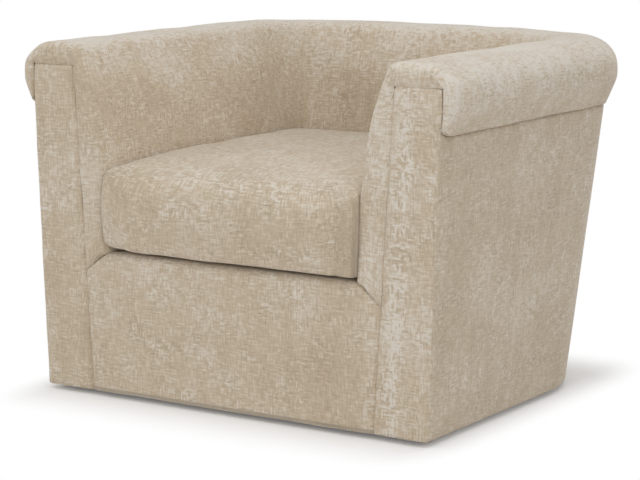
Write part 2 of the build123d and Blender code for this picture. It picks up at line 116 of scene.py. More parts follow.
# woven chenille: pile yarns laid in short slubs across and along, so the eye sees small dashes
# both ways, patches where the nap stands up paler, brushed streaks and a soft bloom at grazing angles
chenille = {
    "pit": "#B9A890", "ground": "#CEBDA5", "nap": "#E4DCD0",
    "dashLong": 9.0, "dashThin": 3.4,       # mm, drawn about twice as coarse as the yarn to show
    "threadLong": 24.0, "threadThin": 3.0,
    "lay": 24.0, "patch": 60.0, "mottle": 150.0,
    "streakWide": 30.0, "streakLong": 420.0,
    "detail": {"lay": 2.0, "patch": 3.0, "across": 1.0, "along": 1.0, "streak": 2.0, "mottle": 3.0},
    "layFrom": 0.50, "layTo": 0.56, "slubMiddle": 0.42,
    "patchFrom": 0.42, "patchTo": 0.68, "napLeast": 0.28, "napMost": 0.74, "brushedShare": 0.75,
    "threadShare": 0.8, "streakShare": 0.5, "slowShare": 0.7, "toneFrom": 0.77, "toneTo": 1.93,
    "rough": 0.92, "specular": 0.18, "bump": 0.7, "bumpDepth": 0.0018,
    "sheen": 0.45, "sheenRough": 0.45, "sheenTint": "#FFF8EE",
    "paintedTopLightLean": 0.05,                           # walls that lean back a little get the painted top light too
}


def wovenChenille():
    c = chenille
    material, tree, shader = newFinish("woven chenille", {
        "Roughness": c["rough"], "Specular IOR Level": c["specular"], "Sheen Weight": c["sheen"],
        "Sheen Roughness": c["sheenRough"], "Sheen Tint": toLinear(c["sheenTint"])})
    place = addNode(tree, "ShaderNodeUVMap", {"uv_map": "cloth"})
    # each pattern's cell across and along the cloth in mm, and a shift that sets it apart
    cells = {
        "weft": (c["dashLong"], c["dashThin"], 0.0), "warp": (c["dashThin"], c["dashLong"], 37.0),
        "across": (c["threadLong"], c["threadThin"], 0.0), "along": (c["threadThin"], c["threadLong"], 19.0),
        "lay": (c["lay"], c["lay"], 0.0), "patch": (c["patch"], c["patch"], 5.0),
        "streak": (c["streakWide"], c["streakLong"], 0.0), "mottle": (c["mottle"], c["mottle"], 0.0),
    }
    laid = {}
    for pattern, (wide, long, shift) in cells.items():
        laid[pattern] = addNode(tree, "ShaderNodeMapping", None, {
            "Vector": place, "Scale": (1 / (wide * mm), 1 / (long * mm), 1), "Location": (shift, shift, 0)})
    clouds = {}
    for pattern, detail in c["detail"].items():
        clouds[pattern] = addNode(tree, "ShaderNodeTexNoise", {"noise_dimensions": "2D"}, {
            "Vector": laid[pattern], "Scale": 1.0, "Detail": detail})
    # rows of short straight slubs, each with its own tone
    slubs = {"offset_frequency": 2, "squash_frequency": 3, "squash": 1.4}
    each = {"Color1": (0, 0, 0, 1), "Color2": (1, 1, 1, 1), "Scale": 1.0, "Mortar Size": 0.0,
            "Brick Width": 1.0, "Row Height": 1.0}
    weft = addNode(tree, "ShaderNodeTexBrick", slubs, {**each, "Vector": laid["weft"]})
    turned = addNode(tree, "ShaderNodeMapping", None, {
        "Vector": laid["warp"], "Rotation": (0, 0, math.pi / 2)})
    warp = addNode(tree, "ShaderNodeTexBrick", slubs, {**each, "Vector": turned})
    lay = addNode(tree, "ShaderNodeMapRange", None, {
        "Value": clouds["lay"], "From Min": c["layFrom"], "From Max": c["layTo"]})
    slub = addNode(tree, "ShaderNodeMix", {"data_type": "FLOAT"}, {0: lay, 2: weft, 3: warp})
    # where the nap stands or has been brushed up, the slubs tell more; an attribute also gives them more
    # contrast on faces that look up, as painted top light
    standing = addNode(tree, "ShaderNodeMapRange", None, {
        "Value": clouds["patch"], "From Min": c["patchFrom"], "From Max": c["patchTo"],
        "To Min": c["napLeast"], "To Max": c["napMost"]})
    centred = addNode(tree, "ShaderNodeMath", {"operation": "SUBTRACT"}, {0: slub, 1: c["slubMiddle"]})
    raisedNapAndPaintedLight = addNode(tree, "ShaderNodeAttribute", {"attribute_name": "brushedUp"})
    upright = addNode(tree, "ShaderNodeMath", {"operation": "MULTIPLY_ADD"}, {
        0: raisedNapAndPaintedLight.outputs["Fac"], 1: c["brushedShare"], 2: standing})
    marks = addNode(tree, "ShaderNodeMath", {"operation": "MULTIPLY"}, {0: centred, 1: upright})
    # long threads both ways under the slubs
    threads = addNode(tree, "ShaderNodeMath", {"operation": "ADD"}, {
        0: clouds["across"], 1: clouds["along"]})
    marks = addNode(tree, "ShaderNodeMath", {"operation": "MULTIPLY_ADD"}, {
        0: threads, 1: c["threadShare"], 2: marks})
    slow = addNode(tree, "ShaderNodeMath", {"operation": "MULTIPLY_ADD"}, {
        0: clouds["streak"], 1: c["streakShare"], 2: clouds["mottle"]})
    shaded = addNode(tree, "ShaderNodeMath", {"operation": "MULTIPLY_ADD"}, {
        0: slow, 1: c["slowShare"], 2: marks})
    # painted highlight and nap tone: an attribute paints faces that look up, the right arm's strip and the
    # roll's outside paler for the light on them, and shifts the nap's own tone on the right facing and the
    # cushion's corner
    paled = addNode(tree, "ShaderNodeAttribute", {"attribute_name": "paled"})
    shaded = addNode(tree, "ShaderNodeMath", {"operation": "ADD"}, {0: shaded, 1: paled.outputs["Fac"]})
    spread = addNode(tree, "ShaderNodeMapRange", None, {
        "Value": shaded, "From Min": c["toneFrom"], "From Max": c["toneTo"]})
    tone = addNode(tree, "ShaderNodeValToRGB", {
        "stops": [(0.0, c["pit"]), (0.5, c["ground"]), (1.0, c["nap"])]}, {"Fac": spread})
    tree.links.new(tone.outputs[0], shader.inputs["Base Color"])
    relief = addNode(tree, "ShaderNodeBump", None, {
        "Strength": c["bump"], "Distance": c["bumpDepth"], "Height": marks})
    tree.links.new(relief.outputs[0], shader.inputs["Normal"])
    return material


clothFinish = wovenChenille()
print("cloth ready")

# the tub's lines, read from the frame where a node ends on them
tub = {
    "front": cadLow.y,
    "hem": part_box("front_border")[0].z,
    "seam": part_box("outside_back_panel")[1].z,
    "rimHalf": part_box("outside_panel_right")[1].x,
    "rimBack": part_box("outside_back_panel")[1].y,
    "rimCorner": 225 * mm,
    "baseHalf": 444 * mm, "baseBack": 340 * mm, "baseCorner": 277 * mm,
    "cornerTurn": math.radians(73.5),
    "step": 11 * mm, "leastCells": 4,
}


def tubPlan(share):
    half = lerp(tub["baseHalf"], tub["rimHalf"], share)
    corner = lerp(tub["baseCorner"], tub["rimCorner"], share)
    reach = (half - corner) / math.cos(tub["cornerTurn"])
    backMiddle = lerp(tub["baseBack"], tub["rimBack"], share) - corner - reach
    return {"half": half, "corner": corner, "cornerX": half - corner,
            "cornerY": backMiddle + reach * math.sin(tub["cornerTurn"]),
            "backRadius": corner + reach, "backMiddle": backMiddle}


# station 0 to 1 runs back along the right arm, 1 to 2 round its corner, 2 to 3 along the back,
# then the same on the left; gives the point and the way in
def tubPoint(plan, station, front):
    mirror = 1
    if station > 2.5:
        mirror, station = -1, 5 - station
    if station <= 1:
        along = lerp(front, plan["cornerY"], station)
        return Vector((mirror * plan["half"], along)), Vector((-mirror, 0))
    turn = tub["cornerTurn"]
    if station <= 2:
        angle = turn * (station - 1)
        middle = Vector((plan["cornerX"], plan["cornerY"]))
        radius = plan["corner"]
    else:
        angle = turn + (math.pi / 2 - turn) * (station - 2) * 2
        middle = Vector((0, plan["backMiddle"]))
        radius = plan["backRadius"]
    out = Vector((math.cos(angle), math.sin(angle)))
    point = middle + out * radius
    return Vector((mirror * point.x, point.y)), Vector((-mirror * out.x, -out.y))


# lengths along the rim from station to station
def tubRuns():
    plan = tubPlan(1)
    side = plan["cornerY"] - tub["front"]
    bend = plan["corner"] * tub["cornerTurn"]
    rear = plan["backRadius"] * (math.pi - 2 * tub["cornerTurn"])
    return side, bend, rear, bend, side


def stationsFrom(first, last):
    found = []
    for k, length in enumerate(tubRuns()):
        if first <= k < last:
            count = max(tub["leastCells"], round(length / tub["step"]))
            found += [k + i / count for i in range(count)]
    return found + [last]


def stationLength(station):
    return sum(length * clamp(station - k) for k, length in enumerate(tubRuns()))


def roundedLine(points, radii, step, arcStep=0.06):
    fine = [Vector(points[0])]
    for before, at, after, radius in zip(points, points[1:], points[2:], radii[1:]):
        before, at, after = Vector(before), Vector(at), Vector(after)
        toBefore, toAfter = (before - at).normalized(), (after - at).normalized()
        bend = math.pi - toBefore.angle(toAfter)
        reach = radius * math.tan(bend / 2)
        middle = at + (toBefore + toAfter).normalized() * (radius / math.cos(bend / 2))
        start, end = at + toBefore * reach - middle, at + toAfter * reach - middle
        count = max(2, round(bend / arcStep))
        for i in range(count + 1):
            fine.append(middle + start.lerp(end, i / count).normalized() * radius if radius else at)
    fine.append(Vector(points[-1]))
    return evenLine(fine, step)


def evenLine(points, step):
    lengths = [0]
    for a, b in zip(points, points[1:]):
        lengths.append(lengths[-1] + (b - a).length)
    count = max(2, round(lengths[-1] / step))
    made, k = [], 0
    for i in range(count + 1):
        want = lengths[-1] * i / count
        while k < len(points) - 2 and lengths[k + 1] < want:
            k += 1
        span = lengths[k + 1] - lengths[k]
        made.append(points[k].lerp(points[k + 1], (want - lengths[k]) / span if span else 0))
    return made


def nearestOn(point, line):
    best = None
    for a, b in zip(line, line[1:]):
        run = b - a
        at = a + run * clamp((point - a).dot(run) / run.length_squared)
        if best is None or (at - point).length < (best - point).length:
            best = at
    return best


# a piece of cloth from rows of (point, place on the cloth in metres)
def clothPiece(name, rows, flip=False):
    wide = len(rows[0])
    points = [p for row in rows for p, place in row]
    places = [place for row in rows for p, place in row]
    faces = []
    for i in range(len(rows) - 1):
        for j in range(wide - 1):
            face = [i * wide + j, i * wide + j + 1, (i + 1) * wide + j + 1, (i + 1) * wide + j]
            faces.append(face[::-1] if flip else face)
    return meshPiece(name, points, faces, places)


def meshPiece(name, points, faces, places):
    mesh = bpy.data.meshes.new(name)
    mesh.from_pydata([tuple(p) for p in points], [], faces)
    layer = mesh.uv_layers.new(name="cloth")
    for loop in mesh.loops:
        layer.data[loop.index].uv = places[loop.vertex_index]
    mesh.shade_smooth()
    mesh.update()
    piece = bpy.data.objects.new(name, mesh)
    bpy.context.scene.collection.objects.link(piece)
    return piece


# hand-laid padding is never dead even: a slow swell along each point's own normal,
# read from a place in the noise that the piece's seed gives
def soften(piece, amount, size, seed):
    shift = Vector((seed, seed * 1.7, seed * 0.6))
    normals = [v.normal.copy() for v in piece.data.vertices]
    for v, normal in zip(piece.data.vertices, normals):
        v.co += normal * amount * noise.noise(v.co / size + shift)


def dress(piece, finish, slotName, body, *stands):
    piece.data.materials.append(finish)
    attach(piece, body)
    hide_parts(*stands)


# painted top light: faces that look up are painted paler and their slubs get more contrast, standing in for
# light falling on them
def paintTopLight(piece, shape):
    for layer in ("paled", "brushedUp"):
        tone = piece.data.attributes.new(layer, "FLOAT", "POINT")
        for v in piece.data.vertices:
            tone.data[v.index].value = shape[layer] * smooth(v.normal.z + chenille["paintedTopLightLean"])
    return piece.data.attributes["paled"]


def dip(distance, depth, width):
    return depth * (1 - clamp(distance / width)) ** 2


# the wrap: one cloth from under the roll, over the crest and down the inside,
# turned over the arm fronts as a strip that is sewn to the facing
wrap = {
    # mm in from the rim's line and mm up
    "outline": [(10, 574), (-1.5, 566.5), (-25, 622), (-25, 700),
                (111, 700), (148, 616), (175, 450), (179, 291.5)],
    "rounds": [0, 4, 60, 58, 24, 380, 500, 0],
    "facingSeam": [(124.8, 251), (99, 657), (0, 657), (0, 568)],
    "step": 8.0, "mitreStart": 360.0,
    "endLift": 15.0, "endRun": 35.0, "liftTop": 625.0, "liftRun": 58.0, "liftReach": 15.0,
    "flare": 7.0, "flareRun": 200.0, "flareWide": 22.0,
    "frontRound": 16.0, "bulgeRound": 21.0, "bulgeFrom": 40.0, "bulgeRun": 60.0, "roundShare": 0.8,
    "turnAngles": (90, 72, 54, 36, 18),
    "seamDip": 4.4, "seamWidth": 7.0, "seamSlope": 0.9, "dipRun": 10.0,
    "stripPuff": 0.7, "puffRun": 20.0, "foldBack": 12.0, "foldDown": 7.0,
    "swell": 1.9, "swellSize": 0.085, "seed": 3.1,
    # painted light: faces that look up are painted paler with more slub contrast, and the right arm's strip
    # and the roll's outside are painted paler, for the light on them
    "paled": 0.45, "brushedUp": 0.2, "paintedRimLight": 0.12, "paintedRimLightUpTo": 0.7, "paintedRollLight": 0.22,
}


def endLift(y):
    return wrap["endLift"] * max(1 - (y - tub["front"]) / mm / wrap["endRun"], 0) ** 2 * mm


# places of the turned strip in the arm's section, and how far back each is, from the seam out
def stripPlaces(p, out, target, radius, gap):
    w = wrap
    edge = p - out * radius
    run = (edge - target).length
    near = min(w["seamWidth"] / max(run, w["seamWidth"]), 0.5)
    full = min(gap / w["dipRun"], 1)
    turned = [(target, w["seamDip"] * full), (target.lerp(edge, near), w["seamSlope"] * full),
              (target.lerp(edge, 0.5 + near / 2), -w["stripPuff"] * min(run / w["puffRun"], 1))]
    for angle in w["turnAngles"]:
        a = math.radians(angle)
        turned.append((p - out * radius * (1 - math.cos(a)), radius * (1 - math.sin(a))))
    return turned


def wrapMesh():
    w = wrap
    line = roundedLine(w["outline"], w["rounds"], w["step"])
    seam = [Vector(p) for p in w["facingSeam"]]
    foot, inner = seam[0], seam[1]
    stations = stationsFrom(0, 5)
    plan = tubPlan(1)
    front = tub["front"]
    rows = []
    length = 0
    for i, p in enumerate(line):
        if i:
            length += (p - line[i - 1]).length * mm
        along = (line[min(i + 1, len(line) - 1)] - line[max(i - 1, 0)]).normalized()
        out = Vector((-along.y, along.x))
        target = nearestOn(p, seam)
        if p.x > inner.x and p.y < w["mitreStart"]:     # the strip's foot runs down to the mitre
            share = (w["mitreStart"] - p.y) / (w["mitreStart"] - w["outline"][-1][1])
            height = lerp(w["mitreStart"], foot.y, min(share, 1))
            target = foot.lerp(inner, (height - foot.y) / (inner.y - foot.y))
        gap = (p - target).length
        bulging = clamp((w["bulgeFrom"] - p.x) / w["bulgeRun"])
        radius = min(lerp(w["frontRound"], w["bulgeRound"], bulging), w["roundShare"] * gap)
        turned = stripPlaces(p, out, target, radius, gap)
        row = []
        for s in stations:
            at, way = tubPoint(plan, s, front + radius * mm)
            at = at + way * p.x * mm
            row.append((Vector((at.x, at.y, p.y * mm)), (stationLength(s), length)))
        for at, back in reversed(turned):       # both arm fronts, outward from the arm's length
            for side in (1, -1):
                spot = Vector((side * (plan["half"] - at.x * mm), front + back * mm, at.y * mm))
                beside, (u, v) = row[0] if side > 0 else row[-1]
                placed = (spot, (u - side * (spot - beside).length, length))
                row = [placed] + row if side > 0 else row + [placed]
        rows.append(row)
        # the roll's foot curves up at its front end, and the roll flares out a little there
        low = clamp((w["liftTop"] - p.y) / w["liftRun"]) if p.x < w["liftReach"] else 0
        for spot, place in row:
            spot.z += endLift(spot.y) * low
            wide = clamp((abs(spot.x) - plan["half"]) / mm / w["flareWide"])
            away = clamp((spot.y - front) / mm / w["flareRun"])
            spot.x += math.copysign(w["flare"] * (1 - away) ** 2 * wide * mm, spot.x)
    # the cut edge is folded back under the front border
    ends = len(turned)
    fold = []
    for k, (spot, (u, v)) in enumerate(rows[-1]):
        onStrip = k < ends or k >= len(rows[-1]) - ends
        step = Vector((0, (w["foldBack"] if onStrip else 0) * mm, -w["foldDown"] * mm))
        fold.append((spot + step, (u, v + w["foldBack"] * mm)))
    rows.append(fold)
    return clothPiece("wrap", rows)


wrapPiece = wrapMesh()
soften(wrapPiece, wrap["swell"] * mm, wrap["swellSize"], wrap["seed"])
# painted top light on the crest and the faces that look up
tone = paintTopLight(wrapPiece, wrap)
stripBack = tub["front"] + wrap["frontRound"] * mm
for v in wrapPiece.data.vertices:               # painted highlight: the right arm's strip and the roll's outside are painted paler, for the light falling on them
    if v.co.x > 0 and v.co.y < stripBack and v.normal.z < wrap["paintedRimLightUpTo"]:
        tone.data[v.index].value += wrap["paintedRimLight"]
    outer = (abs(v.co.x) - tub["rimHalf"]) / (cadHigh.x - tub["rimHalf"])
    tone.data[v.index].value += wrap["paintedRollLight"] * clamp(outer)
dress(wrapPiece, clothFinish, "chenille_cloth", "chair", "arm_roll_left", "arm_roll_right", "back_roll",
      "inside_arm_pad_left", "inside_arm_pad_right", "inside_back_pad", "arm_border_left", "arm_border_right")
print("wrap:", len(wrapPiece.data.polygons), "faces")

# the arm's front corner: two panels turn toward each other and dip at the seam between them
armCorner = {"round": 7.0, "dip": 1.4, "width": 4.0}


def sewnCorner(distance):
    rounded = armCorner["round"]
    start = rounded * (1 - math.sqrt(0.5))
    distance = max(distance, start)
    short = max(rounded - distance, 0)
    turned = rounded - math.sqrt(rounded * rounded - short * short)
    return distance, turned + dip(distance - start, armCorner["dip"], armCorner["width"])


# the foot of a panel turns under the frame
hemTurn = {"round": 5.0, "above": 4.0, "angles": (30, 60, 90), "tuck": 22.0}


def hemRows(last):
    radius, tucked = hemTurn["round"], hemTurn["tuck"] * mm
    made = []
    for angle in hemTurn["angles"]:
        a = math.radians(angle)
        z = tub["hem"] + (radius - radius * math.sin(a)) * mm
        back = radius * (1 - math.cos(a)) * mm
        made.append([(Vector((p.x, p.y + back, z)), (u, z - back)) for p, (u, v) in last])
    made.append([(Vector((p.x, p.y + tucked, tub["hem"])), (u, tub["hem"] - tucked)) for p, (u, v) in last])
    return made


# arm facings: flat panels sewn in along the top and the inner edge, in mm from the rim's line and mm up
facing = {
    "outerFoot": 23.0, "outerTop": 0.0, "innerFoot": 140.0,
    "innerTop": wrap["facingSeam"][1][0], "top": wrap["facingSeam"][1][1],
    "seamRows": (0, 3, 7), "firstRow": 13.0, "rows": 64,
    "edges": [0, 0.03, 0.07], "inside": 0.13, "columns": 10,
    "seamDip": 4.4, "seamWidth": 7.5, "pillow": 1.8, "pillowRun": 30.0,
    "swell": 0.9, "swellSize": 0.07, "seed": 5.0,
    "brushedFrom": 34.0, "brushedWide": 30.0, "brushedPeak": 1.15, "brushedFall": 1.3, "brushedMost": 0.75,
    "ragged": 0.35, "raggedSize": 0.05, "paled": 0.05, "brushedPaled": 0.18,
}


def facingInner(z):
    f = facing
    return lerp(f["innerTop"], f["innerFoot"], (f["top"] - z) / (f["top"] - tub["hem"] / mm))


# shares across a panel: a few close to each edge, the rest evenly between
def acrossShares(shape):
    last = shape["columns"] - 1
    between = [lerp(shape["inside"], 1 - shape["inside"], i / last) for i in range(last + 1)]
    return shape["edges"] + between + [1 - e for e in reversed(shape["edges"])]


def facingMesh(name, side):
    f = facing
    hem, seam = tub["hem"] / mm, tub["seam"] / mm
    lowest = hem + hemTurn["round"] + hemTurn["above"]
    heights = [f["top"] - down for down in f["seamRows"]]
    heights += [lerp(f["top"] - f["firstRow"], lowest, i / f["rows"]) for i in range(f["rows"] + 1)]
    rows = []
    for z in heights:
        outer = lerp(f["outerFoot"], f["outerTop"], (z - hem) / (seam - hem)) if z < seam else f["outerTop"]
        inner = facingInner(z)
        row = []
        for share in acrossShares(f):
            fromOuter = share * (inner - outer)
            if z < seam + wrap["endLift"]:
                fromOuter, back = sewnCorner(fromOuter)
            else:
                back = dip(fromOuter, f["seamDip"], f["seamWidth"])
            d = outer + fromOuter
            fromInner, fromTop = inner - d, f["top"] - z
            back += dip(fromInner, f["seamDip"], f["seamWidth"])
            back += dip(fromTop, f["seamDip"], f["seamWidth"])
            puff = 1
            for distance in (fromOuter, fromInner, fromTop):
                puff *= min(distance / f["pillowRun"], 1)
            back -= f["pillow"] * math.sqrt(max(puff, 0))
            x = tub["rimHalf"] - d * mm
            row.append((Vector((side * x, tub["front"] + back * mm, z * mm)), (side * x, z * mm)))
        rows.append(row)
    rows += hemRows(rows[-1])
    piece = clothPiece(name, rows, flip=side < 0)
    soften(piece, f["swell"] * mm, f["swellSize"], f["seed"] + side)
    return piece


# a hand has brushed the nap up along the right facing's inner half
def brushUp(piece):
    f = facing
    for layer in ("brushedUp", "paled"):
        piece.data.attributes.new(layer, "FLOAT", "POINT")
    nap, tone = piece.data.attributes["brushedUp"].data, piece.data.attributes["paled"].data
    for v in piece.data.vertices:
        inner = tub["rimHalf"] - facingInner(v.co.z / mm) * mm
        across = (v.co.x - inner - f["brushedFrom"] * mm) / (f["brushedWide"] * mm)
        ragged = f["ragged"] * noise.noise(v.co / f["raggedSize"])
        raised = f["brushedPeak"] - abs(across) * f["brushedFall"] + ragged
        nap[v.index].value = min(max(raised, 0), f["brushedMost"])
        tone[v.index].value = f["paled"] + f["brushedPaled"] * nap[v.index].value


for side, word in ((1, "right"), (-1, "left")):
    piece = facingMesh("arm_front_" + word, side)
    if side > 0:
        brushUp(piece)
    dress(piece, clothFinish, "chenille_cloth", "chair", "arm_facing_" + word)
print("arm fronts done")

# front border: rounded top edge, mitred into the strips of the wrap at both ends, in mm
border = {
    "mitreFoot": wrap["facingSeam"][0][1], "mitreInner": wrap["outline"][-1][0],
    "top": wrap["outline"][-1][1],
    "topRows": (44.0, 34.0, 24.0), "noseRound": 16.0, "noseAngles": (0, 18, 36, 54, 72, 90),
    "underNose": 4.0, "rows": 26, "edges": [0, 0.006, 0.014], "inside": 0.03, "columns": 45,
    "turnedIn": 6.0, "turnedBack": 16.0, "turnedDown": 8.0,
    "seamDip": 4.0, "seamWidth": 7.5, "pillow": 1.6, "pillowAside": 40.0, "pillowDown": 20.0,
    "swell": 1.1, "swellSize": 0.09, "seed": 9.0,
}


def borderMesh():
    b = border
    hem = tub["hem"] / mm
    nose = b["noseRound"]
    places = [(b["top"], back) for back in b["topRows"]]    # height and depth back, from the top down
    for angle in b["noseAngles"]:
        a = math.radians(angle)
        places.append((b["top"] - nose + nose * math.cos(a), nose - nose * math.sin(a)))
    highest, lowest = b["top"] - nose - b["underNose"], hem + hemTurn["round"] + hemTurn["above"]
    places += [(lerp(highest, lowest, i / b["rows"]), 0) for i in range(b["rows"] + 1)]
    rows = []
    length = 0
    for k, (z, back) in enumerate(places):
        if k:
            length += math.hypot(z - places[k - 1][0], back - places[k - 1][1])
        half = tub["rimHalf"] / mm - facingInner(z)
        if z > b["mitreFoot"]:
            share = (z - b["mitreFoot"]) / (b["top"] - b["mitreFoot"])
            half = lerp(half, tub["rimHalf"] / mm - b["mitreInner"], share)
        across = [lerp(-half, half, s) for s in acrossShares(b)]
        row = []
        for x in [-half - b["turnedIn"]] + across + [half + b["turnedIn"]]:
            fromEnd = half - abs(x)
            sunk = dip(fromEnd, b["seamDip"], b["seamWidth"])
            deep = back + (sunk if fromEnd >= 0 else b["turnedBack"])
            drop = (sunk if fromEnd >= 0 else b["turnedDown"]) if back > nose else 0
            if back == 0:
                aside, down = max(fromEnd, 0) / b["pillowAside"], (b["top"] - nose - z) / b["pillowDown"]
                deep -= b["pillow"] * min(aside, 1) * min(down, 1)
            spot = Vector((x * mm, tub["front"] + deep * mm, (z - drop) * mm))
            row.append((spot, (x * mm, -length * mm)))
        rows.append(row)
    rows += hemRows(rows[-1])
    return clothPiece("front_border_cover", rows, flip=True)


borderPiece = borderMesh()
soften(borderPiece, border["swell"] * mm, border["swellSize"], border["seed"])
dress(borderPiece, clothFinish, "chenille_cloth", "chair", "front_border")
print("front border done")

# outside covers: three panels pulled over the leaning frame, seamed at the back corners
outside = {
    # first and last station, the solid it stands for and the rail it hangs from
    "panels": {"outside_cover_right": (0, 2, "outside_panel_right", "arm_top_rail_right"),
               "outside_cover_back": (2, 3, "outside_back_panel", "back_top_rail"),
               "outside_cover_left": (3, 5, "outside_panel_left", "arm_top_rail_left")},
    "finer": (0.25, 0.6), "rows": 50, "overHem": 12.0, "underSeam": 9.0,
    "tuck": ((-4.0, 0.8), (-0.5, 2.6), (4.0, 9.0)),     # mm up from the roll's seam and mm in
    "seamDip": 2.6, "seamWidth": 8.0, "liftRun": 60.0,
    "swell": 0.7, "swellSize": 0.16, "seed": 12.0, "turnings": (0.03, 0.05),
}


def outsideMesh(name, first, last):
    o = outside
    hem, seam = tub["hem"], tub["seam"]
    stations = stationsFrom(first, last)
    finer = []                                  # two more stations close to each end
    for k, step in ((0, stations[1] - stations[0]), (-1, stations[-2] - stations[-1])):
        finer += [stations[k] + step * share for share in o["finer"]]
    stations = sorted(stations + finer)
    section = [(hem / mm, hemTurn["tuck"])]     # height, inward, from the turned hem up to the tuck
    radius = hemTurn["round"]
    for angle in (*reversed(hemTurn["angles"]), 0):
        a = math.radians(angle)
        section.append((hem / mm + radius * (1 - math.sin(a)), radius * (1 - math.cos(a))))
    lowest, highest = hem / mm + o["overHem"], seam / mm - o["underSeam"]
    section += [(lerp(lowest, highest, i / o["rows"]), 0) for i in range(o["rows"] + 1)]
    section += [(seam / mm + up, inward) for up, inward in o["tuck"]]
    rows = []
    for z, inward in section:
        plan = tubPlan(clamp((z * mm - hem) / (seam - hem)))
        row = []
        for s in stations:
            at, way = tubPoint(plan, s, tub["front"])
            here = stationLength(s)
            deep = inward
            for end, seamed in ((first, first > 0), (last, last < 5)):
                if seamed:
                    deep += dip(abs(here - stationLength(end)) / mm, o["seamDip"], o["seamWidth"])
            fromFront = (at.y - tub["front"]) / mm
            if not 1 < s < 4 and fromFront < armCorner["round"]:
                fromFront, turned = sewnCorner(fromFront)
                deep += turned
                at = Vector((at.x, tub["front"] + fromFront * mm))
            at = at + way * deep * mm
            high = z * mm + endLift(at.y) * clamp((z - seam / mm + o["liftRun"]) / o["liftRun"])
            row.append((Vector((at.x, at.y, high)), (here, high)))
        rows.append(row)
    return clothPiece(name, rows)


for name, (first, last, stands, rail) in outside["panels"].items():
    piece = outsideMesh(name, first, last)
    soften(piece, outside["swell"] * mm, outside["swellSize"], outside["seed"] + first)
    dress(piece, clothFinish, "chenille_cloth", "chair", stands)

# loose seat cushion: cloth on a foam core, crowned, the cover running over the front edge
cushionLow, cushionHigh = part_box("seat_cushion")
cushion = {
    "half": cushionHigh.x + 11 * mm, "front": cushionLow.y - 20 * mm, "foot": cushionLow.z + 0.5 * mm,
    "crown": cushionHigh.z + 12 * mm, "crownRise": 8 * mm, "frontCorner": 12 * mm,
    "frontFall": 17 * mm, "fallStart": -0.11, "shoulder": 7 * mm, "shoulderRun": 80 * mm,
    "topRound": 46 * mm, "sideRound": 11 * mm, "roundRun": 60 * mm, "footRound": 11 * mm,
    "sideSwell": 0.012, "cells": 28, "seamDip": 1.8 * mm,
    "wallGap": 0.6 * mm, "edgeGive": 9 * mm, "frontReach": 14 * mm, "lift": 13 * mm, "liftRun": 120 * mm,
    "swell": 2.6 * mm, "swellSize": 0.12, "swellSeed": 20.0,
    "crease": 0.9 * mm, "creaseSize": 0.045, "creaseSeed": 31.0,
    "boxingCells": 4, "boxingBand": 3, "boxingDip": 4.5 * mm, "boxingTone": -0.3,
    # painted top light: the cushion's top is painted a little paler, with more slub contrast
    "paled": 0.06, "brushedUp": 0.4,
}

# how every pad is built: its crown, the bands down its side and the fall toward its front
pad = {
    "arcCells": 12, "crownPower": 2.4, "bandHeight": 9 * mm,
    "roundAngles": (18, 36, 54, 72, 90), "seamAngle": 72, "footAngles": (0, 30, 60),
    "fallPower": 1.7, "cornerHold": 0.6,
}


def padOutline(half, front, frontCorner, cells):
    rim = tubPlan(1)
    inset = rim["half"] - half
    turn = tub["cornerTurn"]
    count = pad["arcCells"]
    arcs = []
    for x, y, radius, start, end in (
            (half - frontCorner, front + frontCorner, frontCorner, -math.pi / 2, 0),
            (rim["cornerX"], rim["cornerY"], rim["corner"] - inset, 0, turn),
            (0, rim["backMiddle"], rim["backRadius"] - inset, turn, math.pi / 2)):
        angles = [lerp(start, end, i / count) for i in range(count + 1)]
        arcs.append([Vector((x + radius * math.cos(a), y + radius * math.sin(a))) for a in angles])
    quarter, corner, rear = arcs

    def flipped(line):
        return [Vector((-p.x, p.y)) for p in reversed(line)]

    mid = count // 2
    rightSide = quarter[mid:] + corner[:mid + 1]
    backSide = corner[mid:] + rear + flipped(rear)[1:] + flipped(corner[mid:])
    sides = []
    for side in (flipped(quarter[:mid + 1]) + quarter[:mid + 1], rightSide, backSide, flipped(rightSide)):
        length = sum((b - a).length for a, b in zip(side, side[1:]))
        sides.append(evenLine(side, length / (2 * cells)))
    return sides


